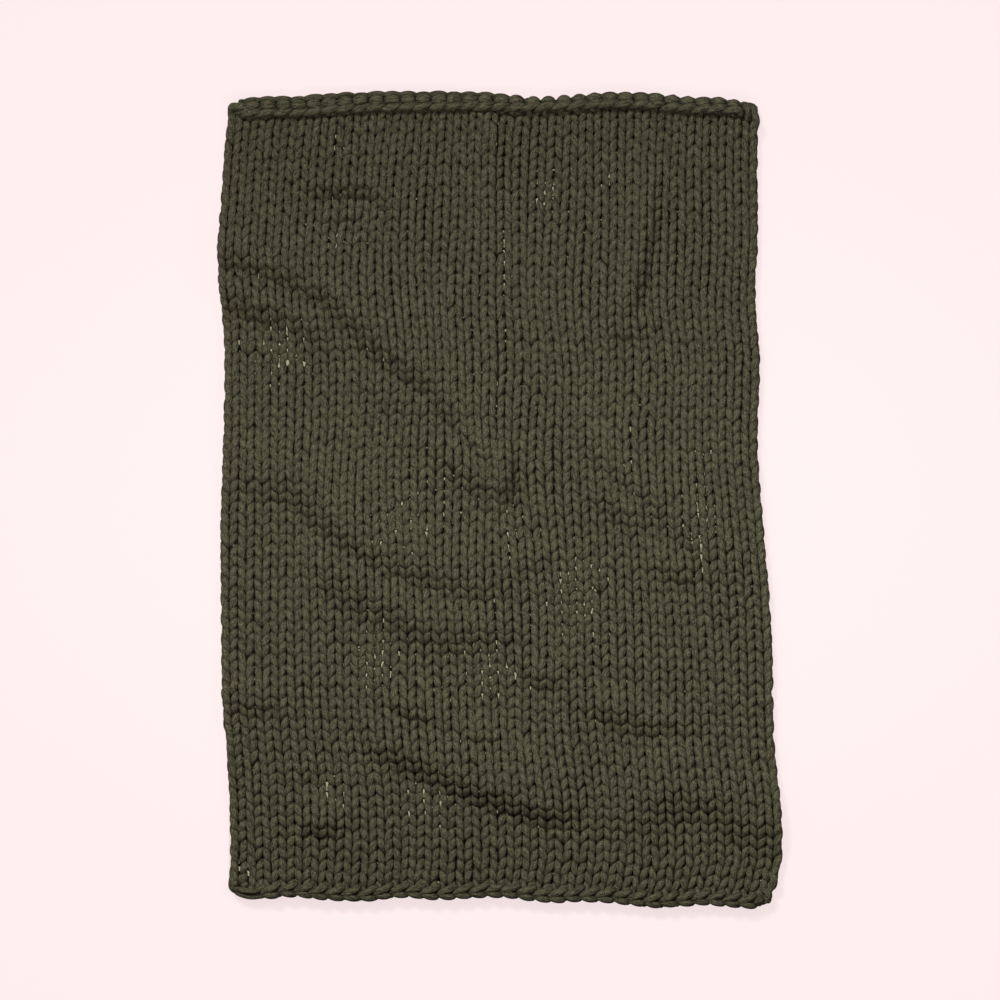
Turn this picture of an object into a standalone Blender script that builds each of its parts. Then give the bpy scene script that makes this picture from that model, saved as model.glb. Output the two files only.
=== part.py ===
"""Chunky hand-knit weighted blanket, lying flat with its folds.

Metres, +Z up, +Y towards the curled cast-on edge. The origin is under the middle of the blanket, on the
surface that it lies on. The whole blanket is one piece of knitting, so it is one solid.
"""

import math
from typing import NamedTuple

import bmesh
import bpy
import numpy as np

# Knitting
WALES = 34
SHEET = 0.030
RIB_RELIEF = 0.008
YARN_COLOUR = (0.066, 0.060, 0.038, 1.0)

# Edges: how far each one reaches in from the outline
SIDE_ROUND = 0.010
BODY_TOP_MARGIN = 0.056
BODY_BOTTOM_MARGIN = 0.042

# Grid of the face and of the underside
FACE_COLUMNS = 2 * WALES
BODY_ROWS = 60
UNDER_COLUMNS = 17
UNDER_ROWS = 36

# Under a fold the sheet lifts off the surface once the fold is higher than this
LIFT_FROM = 0.010
LIFT_SHARE = 1.15


class SidePoint(NamedTuple):
    """A point of a side edge: its place along the blanket and across it."""

    y: float
    x: float


class EndPoint(NamedTuple):
    """A point of the top or bottom edge: its place across the blanket and along it."""

    x: float
    y: float


class Crest(NamedTuple):
    """A point on the crest of a fold and how far it rises above the flat sheet."""

    x: float
    y: float
    rise: float


class Fold(NamedTuple):
    """A fold: its crest line, the widths of its gentle and steep sides, and how far the crest leans.

    The steep side is on the right hand when walking along the crest line.
    """

    name: str
    gentle: float
    steep: float
    lean: float
    crest: tuple


class Station(NamedTuple):
    """A row of the face near an end of the blanket: distance in from the edge, height, bead relief."""

    inset: float
    height: float
    bead: float


LEFT_EDGE = (
    SidePoint(0.884, -0.615),
    SidePoint(0.793, -0.624),
    SidePoint(0.680, -0.632),
    SidePoint(0.539, -0.639),
    SidePoint(0.453, -0.634),
    SidePoint(0.385, -0.628),
    SidePoint(0.180, -0.626),
    SidePoint(0.000, -0.632),
    SidePoint(-0.274, -0.632),
    SidePoint(-0.501, -0.627),
    SidePoint(-0.614, -0.617),
    SidePoint(-0.875, -0.611),
)

RIGHT_EDGE = (
    SidePoint(0.884, 0.587),
    SidePoint(0.793, 0.585),
    SidePoint(0.566, 0.585),
    SidePoint(0.453, 0.580),
    SidePoint(0.317, 0.590),
    SidePoint(0.135, 0.586),
    SidePoint(-0.047, 0.599),
    SidePoint(-0.228, 0.613),
    SidePoint(-0.364, 0.620),
    SidePoint(-0.546, 0.624),
    SidePoint(-0.716, 0.639),
    SidePoint(-0.796, 0.640),
    SidePoint(-0.830, 0.640),
    SidePoint(-0.860, 0.629),
    SidePoint(-0.895, 0.619),
)

TOP_EDGE = (
    EndPoint(-0.602, 0.907),
    EndPoint(-0.556, 0.913),
    EndPoint(-0.454, 0.915),
    EndPoint(-0.352, 0.923),
    EndPoint(-0.182, 0.926),
    EndPoint(-0.023, 0.922),
    EndPoint(0.091, 0.911),
    EndPoint(0.136, 0.911),
    EndPoint(0.261, 0.924),
    EndPoint(0.340, 0.921),
    EndPoint(0.454, 0.912),
    EndPoint(0.533, 0.909),
    EndPoint(0.579, 0.898),
)

BOTTOM_EDGE = (
    EndPoint(-0.602, -0.886),
    EndPoint(-0.556, -0.904),
    EndPoint(-0.488, -0.901),
    EndPoint(-0.386, -0.910),
    EndPoint(-0.318, -0.911),
    EndPoint(-0.227, -0.903),
    EndPoint(-0.159, -0.907),
    EndPoint(0.000, -0.903),
    EndPoint(0.091, -0.913),
    EndPoint(0.204, -0.913),
    EndPoint(0.352, -0.925),
    EndPoint(0.454, -0.920),
    EndPoint(0.533, -0.928),
    EndPoint(0.590, -0.926),
    EndPoint(0.613, -0.909),
)

FOLDS = (
    Fold(
        "upper_left_fold",
        gentle=0.150,
        steep=0.063,
        lean=0.04,
        crest=(
            Crest(-0.628, 0.571, 0.035),
            Crest(-0.575, 0.566, 0.043),
            Crest(-0.494, 0.535, 0.045),
            Crest(-0.425, 0.508, 0.048),
            Crest(-0.378, 0.484, 0.050),
            Crest(-0.329, 0.440, 0.052),
            Crest(-0.273, 0.382, 0.052),
            Crest(-0.184, 0.306, 0.048),
            Crest(-0.136, 0.274, 0.035),
            Crest(-0.077, 0.200, 0.033),
            Crest(-0.039, 0.150, 0.018),
            Crest(-0.017, 0.124, 0.004),
        ),
    ),
    Fold(
        "upper_left_end",
        gentle=0.052,
        steep=0.043,
        lean=0.03,
        crest=(
            Crest(-0.118, 0.239, 0.009),
            Crest(-0.066, 0.167, 0.039),
            Crest(-0.006, 0.091, 0.039),
            Crest(0.020, 0.071, 0.011),
        ),
    ),
    Fold(
        "upper_left_pleat",
        gentle=0.062,
        steep=0.060,
        lean=0.04,
        crest=(
            Crest(-0.628, 0.487, 0.031),
            Crest(-0.581, 0.475, 0.042),
            Crest(-0.527, 0.454, 0.042),
            Crest(-0.465, 0.431, 0.036),
            Crest(-0.416, 0.407, 0.028),
            Crest(-0.341, 0.360, 0.008),
        ),
    ),
    Fold(
        "upper_left_tuck",
        gentle=0.067,
        steep=0.056,
        lean=0.03,
        crest=(
            Crest(-0.312, 0.293, 0.005),
            Crest(-0.281, 0.268, 0.018),
            Crest(-0.190, 0.223, 0.016),
            Crest(-0.152, 0.190, 0.005),
        ),
    ),
    Fold(
        "centre_pleat",
        gentle=0.076,
        steep=0.063,
        lean=0.04,
        crest=(
            Crest(-0.158, 0.142, 0.006),
            Crest(-0.107, 0.105, 0.026),
            Crest(-0.054, 0.073, 0.034),
            Crest(-0.019, 0.060, 0.034),
            Crest(-0.000, 0.066, 0.022),
        ),
    ),
    Fold(
        "centre_hollow",
        gentle=0.060,
        steep=0.038,
        lean=0.02,
        crest=(
            Crest(-0.003, 0.010, 0.013),
            Crest(0.001, 0.050, 0.038),
            Crest(0.001, 0.107, 0.036),
            Crest(-0.001, 0.147, 0.009),
            Crest(-0.003, 0.170, 0.003),
        ),
    ),
    Fold(
        "centre_crease",
        gentle=0.060,
        steep=0.033,
        lean=0.01,
        crest=(
            Crest(-0.019, 0.171, 0.003),
            Crest(-0.021, 0.237, 0.012),
            Crest(-0.023, 0.351, 0.010),
            Crest(-0.023, 0.476, 0.006),
            Crest(-0.023, 0.612, 0.006),
            Crest(-0.023, 0.725, 0.010),
            Crest(-0.023, 0.816, 0.014),
            Crest(-0.023, 0.857, 0.010),
        ),
    ),
    Fold(
        "middle_left_fold",
        gentle=0.160,
        steep=0.063,
        lean=0.03,
        crest=(
            Crest(-0.605, 0.071, 0.010),
            Crest(-0.545, 0.064, 0.029),
            Crest(-0.446, 0.039, 0.036),
            Crest(-0.380, -0.023, 0.041),
            Crest(-0.321, -0.078, 0.041),
            Crest(-0.253, -0.119, 0.034),
            Crest(-0.150, -0.148, 0.029),
            Crest(-0.043, -0.179, 0.022),
            Crest(0.032, -0.202, 0.007),
        ),
    ),
    Fold(
        "middle_left_pleat",
        gentle=0.075,
        steep=0.067,
        lean=0.04,
        crest=(
            Crest(-0.414, -0.127, 0.006),
            Crest(-0.378, -0.148, 0.029),
            Crest(-0.333, -0.181, 0.036),
            Crest(-0.279, -0.212, 0.038),
            Crest(-0.191, -0.260, 0.038),
            Crest(-0.124, -0.281, 0.036),
            Crest(-0.051, -0.283, 0.036),
            Crest(0.013, -0.286, 0.027),
            Crest(0.050, -0.302, 0.008),
        ),
    ),
    Fold(
        "centre_pucker",
        gentle=0.051,
        steep=0.043,
        lean=0.01,
        crest=(
            Crest(0.037, -0.337, 0.004),
            Crest(0.074, -0.372, 0.022),
            Crest(0.101, -0.389, 0.023),
            Crest(0.124, -0.381, 0.014),
            Crest(0.149, -0.368, 0.004),
        ),
    ),
    Fold(
        "lower_middle_rise",
        gentle=0.067,
        steep=0.056,
        lean=0.01,
        crest=(
            Crest(-0.259, -0.437, 0.005),
            Crest(-0.221, -0.457, 0.028),
            Crest(-0.162, -0.486, 0.023),
            Crest(-0.104, -0.515, 0.018),
            Crest(-0.044, -0.530, 0.023),
            Crest(0.013, -0.549, 0.006),
        ),
    ),
    Fold(
        "lower_middle_fold",
        gentle=0.170,
        steep=0.074,
        lean=0.06,
        crest=(
            Crest(-0.300, -0.523, 0.006),
            Crest(-0.273, -0.537, 0.029),
            Crest(-0.217, -0.559, 0.038),
            Crest(-0.164, -0.582, 0.040),
            Crest(-0.043, -0.635, 0.044),
            Crest(0.034, -0.659, 0.044),
            Crest(0.101, -0.680, 0.042),
            Crest(0.134, -0.688, 0.034),
            Crest(0.179, -0.691, 0.009),
        ),
    ),
    Fold(
        "lower_right_fold",
        gentle=0.150,
        steep=0.079,
        lean=0.02,
        crest=(
            Crest(0.202, -0.693, 0.006),
            Crest(0.248, -0.695, 0.013),
            Crest(0.301, -0.689, 0.015),
            Crest(0.380, -0.661, 0.025),
            Crest(0.471, -0.667, 0.025),
            Crest(0.553, -0.705, 0.025),
            Crest(0.626, -0.731, 0.023),
            Crest(0.656, -0.739, 0.019),
        ),
    ),
    Fold(
        "upper_right_pleat",
        gentle=0.110,
        steep=0.041,
        lean=0.04,
        crest=(
            Crest(0.264, 0.385, 0.009),
            Crest(0.277, 0.440, 0.032),
            Crest(0.293, 0.503, 0.037),
            Crest(0.315, 0.611, 0.032),
            Crest(0.331, 0.717, 0.022),
            Crest(0.343, 0.785, 0.003),
        ),
    ),
    Fold(
        "upper_right_tuck",
        gentle=0.051,
        steep=0.043,
        lean=0.01,
        crest=(
            Crest(0.224, 0.401, 0.005),
            Crest(0.268, 0.399, 0.020),
            Crest(0.321, 0.402, 0.010),
        ),
    ),
    Fold(
        "middle_right_fold",
        gentle=0.120,
        steep=0.055,
        lean=0.02,
        crest=(
            Crest(0.214, 0.180, 0.005),
            Crest(0.229, 0.143, 0.026),
            Crest(0.270, 0.068, 0.030),
            Crest(0.358, 0.009, 0.026),
            Crest(0.423, -0.055, 0.026),
            Crest(0.486, -0.137, 0.020),
            Crest(0.506, -0.234, 0.006),
        ),
    ),
    Fold(
        "middle_right_pleat",
        gentle=0.090,
        steep=0.049,
        lean=0.02,
        crest=(
            Crest(0.201, 0.043, 0.006),
            Crest(0.234, 0.024, 0.026),
            Crest(0.295, -0.022, 0.026),
            Crest(0.336, -0.057, 0.005),
        ),
    ),
    Fold(
        "middle_right_tuck",
        gentle=0.059,
        steep=0.049,
        lean=0.02,
        crest=(
            Crest(0.347, -0.104, 0.005),
            Crest(0.372, -0.129, 0.024),
            Crest(0.414, -0.156, 0.024),
            Crest(0.445, -0.169, 0.004),
        ),
    ),
    Fold(
        "top_left_pucker",
        gentle=0.054,
        steep=0.045,
        lean=0.01,
        crest=(
            Crest(-0.453, 0.725, 0.006),
            Crest(-0.408, 0.723, 0.022),
            Crest(-0.351, 0.721, 0.025),
            Crest(-0.285, 0.716, 0.020),
            Crest(-0.216, 0.653, 0.015),
            Crest(-0.184, 0.588, 0.010),
            Crest(-0.152, 0.522, 0.004),
        ),
    ),
    Fold(
        "top_left_tuck",
        gentle=0.045,
        steep=0.037,
        lean=0.01,
        crest=(
            Crest(-0.425, 0.649, 0.006),
            Crest(-0.397, 0.647, 0.018),
            Crest(-0.354, 0.649, 0.018),
            Crest(-0.323, 0.653, 0.005),
        ),
    ),
    Fold(
        "lower_right_pucker",
        gentle=0.060,
        steep=0.048,
        lean=0.01,
        crest=(
            Crest(0.204, -0.444, 0.005),
            Crest(0.242, -0.460, 0.024),
            Crest(0.330, -0.489, 0.022),
            Crest(0.389, -0.495, 0.012),
            Crest(0.443, -0.502, 0.003),
        ),
    ),
    Fold(
        "lower_left_pucker",
        gentle=0.071,
        steep=0.060,
        lean=0.03,
        crest=(
            Crest(-0.458, -0.714, 0.005),
            Crest(-0.420, -0.720, 0.034),
            Crest(-0.387, -0.720, 0.034),
            Crest(-0.349, -0.712, 0.005),
        ),
    ),
    Fold(
        "left_pucker",
        gentle=0.060,
        steep=0.045,
        lean=0.01,
        crest=(
            Crest(-0.612, -0.442, 0.012),
            Crest(-0.566, -0.444, 0.022),
            Crest(-0.520, -0.446, 0.014),
            Crest(-0.477, -0.451, 0.003),
        ),
    ),
    Fold(
        "centre_tuck",
        gentle=0.051,
        steep=0.043,
        lean=0.01,
        crest=(
            Crest(-0.006, -0.146, 0.004),
            Crest(0.029, -0.144, 0.020),
            Crest(0.088, -0.123, 0.018),
            Crest(0.127, -0.097, 0.004),
        ),
    ),
)

# From the last course of the body over the curled cast-on edge to the rim
TOP_CURL = (
    Station(0.044, 0.026, 0.0),
    Station(0.050, 0.040, 0.002),
    Station(0.042, 0.052, 0.003),
    Station(0.027, 0.057, 0.003),
    Station(0.010, 0.050, 0.003),
    Station(0.000, 0.030, 0.002),
)

# From the rim over the bind-off chain to the first course of the body
BOTTOM_CHAIN = (
    Station(0.000, 0.015, 0.002),
    Station(0.006, 0.030, 0.002),
    Station(0.019, 0.037, 0.003),
    Station(0.034, 0.026, 0.0),
)

FACE_ROWS = len(BOTTOM_CHAIN) + BODY_ROWS + len(TOP_CURL)


def clear_scene():
    """Remove every object that is already in the scene."""
    for old in list(bpy.data.objects):
        bpy.data.objects.remove(old, do_unlink=True)


def along(table, at):
    """Read a smooth curve through the table's two columns at the places given."""
    places, values = np.array(table).T
    order = np.argsort(places)
    places, values = places[order], values[order]
    slopes = np.gradient(values, places)
    at = np.clip(at, places[0], places[-1])
    cell = np.clip(np.searchsorted(places, at) - 1, 0, len(places) - 2)
    span = places[cell + 1] - places[cell]
    t = (at - places[cell]) / span
    return (
        (1 + 2 * t) * (1 - t) ** 2 * values[cell]
        + t * (1 - t) ** 2 * span * slopes[cell]
        + t**2 * (3 - 2 * t) * values[cell + 1]
        - t**2 * (1 - t) * span * slopes[cell + 1]
    )


def smooth_line(crest, steps=8):
    """Return a Catmull-Rom curve through a crest line, with its rises, as one array."""
    points = np.array(crest)
    padded = np.vstack((2 * points[0] - points[1], points, 2 * points[-1] - points[-2]))
    line = []
    for a, b, c, d in zip(padded, padded[1:], padded[2:], padded[3:]):
        for t in np.arange(steps) / steps:
            line.append(
                0.5
                * (
                    2 * b
                    + (c - a) * t
                    + (2 * a - 5 * b + 4 * c - d) * t**2
                    + (3 * b - a - 3 * c + d) * t**3
                )
            )
    line.append(points[-1])
    return np.array(line)


def fold_rise(fold, x, y):
    """Return how far a fold lifts the points x, y, and the direction of its steep side there."""
    line = smooth_line(fold.crest)
    start, step = line[:-1, :2], np.diff(line[:, :2], axis=0)
    to_point = np.stack((x, y), axis=-1)[..., None, :] - start
    t = np.clip((to_point * step).sum(-1) / (step**2).sum(-1), 0.0, 1.0)
    gap = to_point - t[..., None] * step
    distance = np.hypot(gap[..., 0], gap[..., 1])
    nearest = distance.argmin(-1)[..., None]
    distance = np.take_along_axis(distance, nearest, -1)[..., 0]
    passed = np.take_along_axis(t, nearest, -1)[..., 0]
    run = step[nearest[..., 0]]
    reach = np.take_along_axis(gap, nearest[..., None], -2)[..., 0, :]
    steep_way = np.stack((run[..., 1], -run[..., 0]), axis=-1)
    steep_way /= np.linalg.norm(steep_way, axis=-1, keepdims=True)
    on_steep = (reach * steep_way).sum(-1) > 0
    crest = line[nearest[..., 0], 2] * (1 - passed) + line[nearest[..., 0] + 1, 2] * passed
    gentle = 0.5 + 0.5 * np.cos(math.pi * np.clip(distance / fold.gentle, 0, 1))
    share = np.clip(distance / fold.steep, 0, 1)
    steep = 1 - 1.25 * (share - 0.1 * ((2 * share - 1) ** 5 + 1))
    return np.maximum(crest, 0.0) * np.where(on_steep, steep, gentle), steep_way


def drape(x, y):
    """Return the rise of the whole sheet at x, y, and how far its folds lean sideways there."""
    rise = np.zeros_like(x)
    lean = np.zeros(x.shape + (2,))
    for fold in FOLDS:
        lift, steep_way = fold_rise(fold, x, y)
        higher = lift > rise
        rise = np.where(higher, lift, rise)
        lean = np.where(higher[..., None], fold.lean * lift[..., None] * steep_way, lean)
    return rise, lean


def face_rows():
    """Return each row of the face as (bottom inset or None, top inset or None, body share, height, bead)."""
    rows = [(s.inset, 0.0, 0.0, s.height, s.bead) for s in BOTTOM_CHAIN]
    rows += [(BODY_BOTTOM_MARGIN, BODY_TOP_MARGIN, k / BODY_ROWS, SHEET, 0.0) for k in range(BODY_ROWS + 1)]
    rows += [(0.0, s.inset, 1.0, s.height, s.bead) for s in TOP_CURL]
    return np.array(rows)


def plan_place(u, low_inset, high_inset, share):
    """Return x, y of a point: u runs across from the left edge, share along from the bottom edge."""
    guess = along(LEFT_EDGE, np.zeros_like(u)) * (1 - u) + along(RIGHT_EDGE, np.zeros_like(u)) * u
    low = along(BOTTOM_EDGE, guess) + low_inset
    high = along(TOP_EDGE, guess) - high_inset
    y = low * (1 - share) + high * share
    x = along(LEFT_EDGE, y) * (1 - u) + along(RIGHT_EDGE, y) * u
    return x, y


def shape_face(verts):
    """Lay the flat unit grid of the face over the folds, with its ribs, curled edge and chain."""
    uv = np.array([v.co[:2] for v in verts])
    column = np.rint(uv[:, 0] * FACE_COLUMNS).astype(int)
    row = np.rint(uv[:, 1] * FACE_ROWS).astype(int)
    low, high, share, height, bead = face_rows()[row].T
    x, y = plan_place(column / FACE_COLUMNS, low, high, share)
    rise, lean = drape(x, y)
    wale_crest = np.where(column % 2 == 1, 1.0, -1.0)
    relief = np.where(bead > 0, bead, 0.5 * RIB_RELIEF) * wale_crest
    z = height + relief + rise
    at_side = (column == 0) | (column == FACE_COLUMNS)
    z = np.where(at_side, 0.5 * height + 0.5 * rise, z)
    x, y = x + lean[:, 0], y + lean[:, 1]
    for vert, place in zip(verts, np.stack((x, y, z), axis=-1)):
        vert.co = place


def shape_underside(verts):
    """Lay the flat unit grid of the underside on the surface, lifted where a fold stands up."""
    uv = np.array([v.co[:2] for v in verts])
    margin = SIDE_ROUND
    x, y = plan_place(uv[:, 0], margin, margin, uv[:, 1])
    x += margin * (1 - 2 * uv[:, 0])
    rise, lean = drape(x, y)
    lift = np.maximum(0.0, LIFT_SHARE * (rise - LIFT_FROM))
    lifted = np.where(lift > 0, 1.0, 0.0)[:, None]
    x, y = (np.stack((x, y), axis=-1) + lifted * lean).T
    for vert, place in zip(verts, np.stack((x, y, lift), axis=-1)):
        vert.co = place


def unit_grid(mesh, columns, rows):
    """Add a flat grid over the unit square and return its vertices and its border edges."""
    made = bmesh.ops.create_grid(mesh, x_segments=columns, y_segments=rows, size=0.5)["verts"]
    bmesh.ops.translate(mesh, verts=made, vec=(0.5, 0.5, 0.0))
    border = {edge for vert in made for edge in vert.link_edges if edge.is_boundary}
    return made, list(border)


def yarn_material():
    """Return the dull dark olive finish of the yarn."""
    material = bpy.data.materials.new("olive_yarn")
    material.use_nodes = True
    shader = material.node_tree.nodes["Principled BSDF"]
    shader.inputs["Base Color"].default_value = YARN_COLOUR
    shader.inputs["Roughness"].default_value = 0.9
    shader.inputs["Metallic"].default_value = 0.0
    return material


def make_blanket():
    """Build the blanket as one closed solid."""
    mesh = bmesh.new()
    face, face_border = unit_grid(mesh, FACE_COLUMNS, FACE_ROWS)
    under, under_border = unit_grid(mesh, UNDER_COLUMNS, UNDER_ROWS)
    shape_face(face)
    shape_underside(under)
    bmesh.ops.bridge_loops(mesh, edges=face_border + under_border)
    bmesh.ops.triangulate(mesh, faces=mesh.faces[:])
    bmesh.ops.recalc_face_normals(mesh, faces=mesh.faces[:])
    low = np.min([v.co for v in mesh.verts], axis=0)
    high = np.max([v.co for v in mesh.verts], axis=0)
    centre = 0.5 * (low + high)
    bmesh.ops.translate(mesh, verts=mesh.verts[:], vec=(-centre[0], -centre[1], -low[2]))
    data = bpy.data.meshes.new("blanket")
    mesh.to_mesh(data)
    mesh.free()
    data.shade_smooth()
    data.set_sharp_from_angle(angle=math.radians(50))
    data.materials.append(yarn_material())
    blanket = bpy.data.objects.new("blanket", data)
    bpy.context.scene.collection.objects.link(blanket)
    return blanket


clear_scene()
make_blanket()
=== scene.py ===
import logging
import math
from dataclasses import dataclass, field
from enum import Enum

import bmesh
import bpy
import numpy as np
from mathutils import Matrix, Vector


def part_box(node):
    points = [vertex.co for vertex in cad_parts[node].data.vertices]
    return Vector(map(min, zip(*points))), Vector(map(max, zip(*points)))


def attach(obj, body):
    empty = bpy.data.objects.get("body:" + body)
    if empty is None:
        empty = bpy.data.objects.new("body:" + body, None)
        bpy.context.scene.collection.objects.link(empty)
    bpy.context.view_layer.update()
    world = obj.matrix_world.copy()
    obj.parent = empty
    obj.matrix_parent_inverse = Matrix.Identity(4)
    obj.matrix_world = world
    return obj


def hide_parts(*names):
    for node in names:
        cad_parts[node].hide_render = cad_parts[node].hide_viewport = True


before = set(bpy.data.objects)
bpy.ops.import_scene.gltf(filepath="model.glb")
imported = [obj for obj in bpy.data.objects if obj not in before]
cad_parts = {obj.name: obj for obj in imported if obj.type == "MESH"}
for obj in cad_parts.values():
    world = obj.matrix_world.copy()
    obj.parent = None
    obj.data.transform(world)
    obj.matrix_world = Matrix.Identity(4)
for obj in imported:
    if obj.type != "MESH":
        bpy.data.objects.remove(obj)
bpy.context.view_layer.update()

LOG = logging.getLogger("blanket")
BODY = "root"
NODE = "blanket"

# The width that the roll's table is written for, and rough places of the side edges, left and right,
# at which the end edges are read for the body and for the edge rows
NOMINAL_WIDTH = 1.22
BODY_SIDES = (-0.625, 0.600)
ROW_SIDES = (-0.615, 0.600)

# The least height of yarn over the surface, and how near two points count as one
CLEARANCE = 0.0004
WELD = 1e-6


class End(Enum):
    """The two ends of the blanket."""

    CAST_ON = "cast_on"
    BIND_OFF = "bind_off"


@dataclass(frozen=True)
class Crest:
    """A point on the crest of a fold and how far it rises above the flat sheet."""

    x: float
    y: float
    rise: float


@dataclass(frozen=True)
class Fold:
    """A fold of the sheet. Its steep side is on the right hand when walking along the crest."""

    name: str
    gentle: float
    steep: float
    lean: float
    crest: tuple[Crest, ...]


@dataclass(frozen=True)
class Opening:
    """A spot where the stitches stand apart, and the surface shows between them if they are loose."""

    x: float
    y: float
    across: float
    along: float
    spread: float
    loose: float


@dataclass(frozen=True)
class StrandPoint:
    """A point that a strand at a corner passes."""

    x: float
    y: float
    height: float
    radius: float


@dataclass(frozen=True)
class CornerStrand:
    """A short strand of yarn that closes a corner of the blanket."""

    name: str
    points: tuple[StrandPoint, ...]


LEFT_EDGE = (
    (0.884, -0.615),
    (0.793, -0.624),
    (0.680, -0.632),
    (0.539, -0.639),
    (0.453, -0.634),
    (0.385, -0.628),
    (0.180, -0.626),
    (0.000, -0.632),
    (-0.274, -0.632),
    (-0.501, -0.627),
    (-0.614, -0.617),
    (-0.875, -0.611),
)

RIGHT_EDGE = (
    (0.884, 0.587),
    (0.793, 0.585),
    (0.566, 0.585),
    (0.453, 0.580),
    (0.317, 0.590),
    (0.135, 0.586),
    (-0.047, 0.599),
    (-0.228, 0.613),
    (-0.364, 0.620),
    (-0.546, 0.624),
    (-0.716, 0.639),
    (-0.796, 0.640),
    (-0.826, 0.639),
    (-0.846, 0.632),
    (-0.868, 0.629),
    (-0.892, 0.618),
    (-0.905, 0.617),
)

TOP_EDGE = (
    (-0.602, 0.907),
    (-0.556, 0.913),
    (-0.454, 0.915),
    (-0.352, 0.923),
    (-0.182, 0.926),
    (-0.023, 0.922),
    (0.091, 0.911),
    (0.136, 0.911),
    (0.261, 0.924),
    (0.340, 0.921),
    (0.454, 0.912),
    (0.533, 0.909),
    (0.579, 0.898),
)

BOTTOM_EDGE = (
    (-0.602, -0.886),
    (-0.556, -0.904),
    (-0.488, -0.901),
    (-0.386, -0.910),
    (-0.318, -0.911),
    (-0.227, -0.903),
    (-0.159, -0.907),
    (0.000, -0.903),
    (0.091, -0.913),
    (0.204, -0.913),
    (0.352, -0.925),
    (0.454, -0.920),
    (0.533, -0.926),
    (0.590, -0.921),
    (0.613, -0.905),
)

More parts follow.
